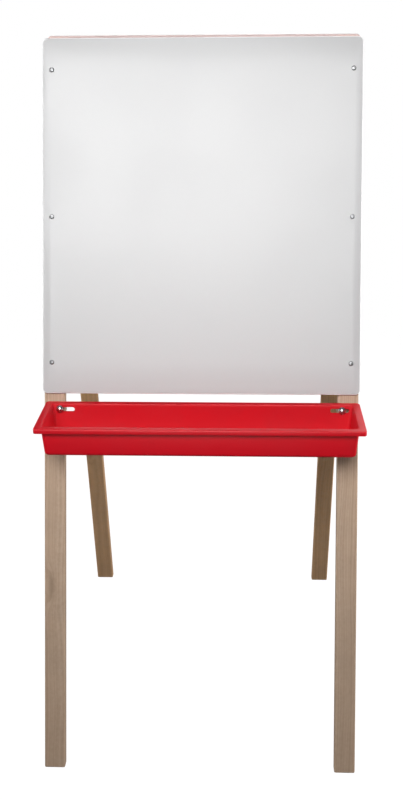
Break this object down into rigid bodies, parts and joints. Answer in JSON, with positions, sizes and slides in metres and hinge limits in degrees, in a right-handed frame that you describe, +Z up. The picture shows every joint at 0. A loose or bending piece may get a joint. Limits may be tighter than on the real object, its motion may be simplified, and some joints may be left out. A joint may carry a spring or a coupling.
{
  "type": "double-sided easel",
  "caption": "Folding A-frame easel for children: hardwood legs hinged at the top, a white dry-erase board and a red paint tray on each side, folding steel braces.",
  "frame": {"origin": "on the floor, midway between the four feet", "axes": "+Z up; X along the boards, +X to the right as the front board is faced; the front board faces -Y"},
  "size_m": [0.6096, 0.819, 1.3632],
  "materials": {
    "pale_hardwood": "plain sanded hardwood with a thin clear coat",
    "white_dry_erase": "glossy white dry-erase face on hardboard",
    "red_plastic": "moulded red plastic, half gloss",
    "zinc_plated_steel": "bright zinc plate",
    "plain_steel": "dull plated steel"
  },
  "bodies": {
    "front_frame": {"front_leg_left": "pale_hardwood", "front_leg_right": "pale_hardwood", "front_board": "white_dry_erase", "front_board_screw_top_left": "zinc_plated_steel", "front_board_screw_top_right": "zinc_plated_steel", "front_board_screw_middle_left": "zinc_plated_steel", "front_board_screw_middle_right": "zinc_plated_steel", "front_board_screw_bottom_left": "zinc_plated_steel", "front_board_screw_bottom_right": "zinc_plated_steel", "front_tray": "red_plastic", "front_tray_bolt_left": "zinc_plated_steel", "front_tray_bolt_right": "zinc_plated_steel", "front_tray_washer_left": "zinc_plated_steel", "front_tray_washer_right": "zinc_plated_steel", "front_tray_wing_nut_left": "zinc_plated_steel", "front_tray_wing_nut_right": "zinc_plated_steel", "front_hinge_leaf_left": "plain_steel", "front_hinge_screw_left_1": "plain_steel", "front_hinge_screw_left_2": "plain_steel", "brace_front_screw_left": "zinc_plated_steel", "front_hinge_leaf_right": "plain_steel", "front_hinge_screw_right_1": "plain_steel", "front_hinge_screw_right_2": "plain_steel", "brace_front_screw_right": "zinc_plated_steel", "hinge_pin_left": "plain_steel", "hinge_pin_right": "plain_steel"},
    "rear_frame": {"rear_leg_left": "pale_hardwood", "rear_leg_right": "pale_hardwood", "rear_board": "white_dry_erase", "rear_board_screw_top_left": "zinc_plated_steel", "rear_board_screw_top_right": "zinc_plated_steel", "rear_board_screw_middle_left": "zinc_plated_steel", "rear_board_screw_middle_right": "zinc_plated_steel", "rear_board_screw_bottom_left": "zinc_plated_steel", "rear_board_screw_bottom_right": "zinc_plated_steel", "rear_tray": "red_plastic", "rear_tray_bolt_left": "zinc_plated_steel", "rear_tray_bolt_right": "zinc_plated_steel", "rear_tray_washer_left": "zinc_plated_steel", "rear_tray_washer_right": "zinc_plated_steel", "rear_tray_wing_nut_left": "zinc_plated_steel", "rear_tray_wing_nut_right": "zinc_plated_steel", "rear_hinge_leaf_left": "plain_steel", "rear_hinge_screw_left_1": "plain_steel", "rear_hinge_screw_left_2": "plain_steel", "brace_rear_screw_left": "zinc_plated_steel", "rear_hinge_leaf_right": "plain_steel", "rear_hinge_screw_right_1": "plain_steel", "rear_hinge_screw_right_2": "plain_steel", "brace_rear_screw_right": "zinc_plated_steel", "brace_rear_bush_left": "zinc_plated_steel", "brace_rear_bush_right": "zinc_plated_steel"},
    "front_link_left": {"brace_front_link_left": "zinc_plated_steel"},
    "rear_link_left": {"brace_rear_link_left": "zinc_plated_steel", "brace_rivet_left": "zinc_plated_steel"},
    "front_link_right": {"brace_front_link_right": "zinc_plated_steel"},
    "rear_link_right": {"brace_rear_link_right": "zinc_plated_steel", "brace_rivet_right": "zinc_plated_steel"}
  },
  "joints": [
    {"name": "fold", "type": "hinge", "parent": "front_frame", "child": "rear_frame", "pos_m": [0, 0, 1.35187], "axis": [-1, 0, 0], "range_deg": [0, 30]},
    {"name": "front_link_left_pivot", "type": "hinge", "parent": "front_frame", "child": "front_link_left", "pos_m": [0, -0.17031, 0.80253], "axis": [1, 0, 0], "range_deg": [0, 67.52]},
    {"name": "rear_link_left_pivot", "type": "hinge", "parent": "rear_frame", "child": "rear_link_left", "pos_m": [0, 0.17031, 0.80253], "axis": [-1, 0, 0], "range_deg": [0, 67.52]},
    {"name": "front_link_right_pivot", "type": "hinge", "parent": "front_frame", "child": "front_link_right", "pos_m": [0, -0.17031, 0.80253], "axis": [1, 0, 0], "range_deg": [0, 67.52]},
    {"name": "rear_link_right_pivot", "type": "hinge", "parent": "rear_frame", "child": "rear_link_right", "pos_m": [0, 0.17031, 0.80253], "axis": [-1, 0, 0], "range_deg": [0, 67.52]}
  ],
  "couplings": [
    {"joint": "front_link_left_pivot", "follows": "fold", "ratio": 2.2488},
    {"joint": "rear_link_left_pivot", "follows": "fold", "ratio": 2.2488},
    {"joint": "front_link_right_pivot", "follows": "fold", "ratio": 2.2488},
    {"joint": "rear_link_right_pivot", "follows": "fold", "ratio": 2.2488}
  ]
}
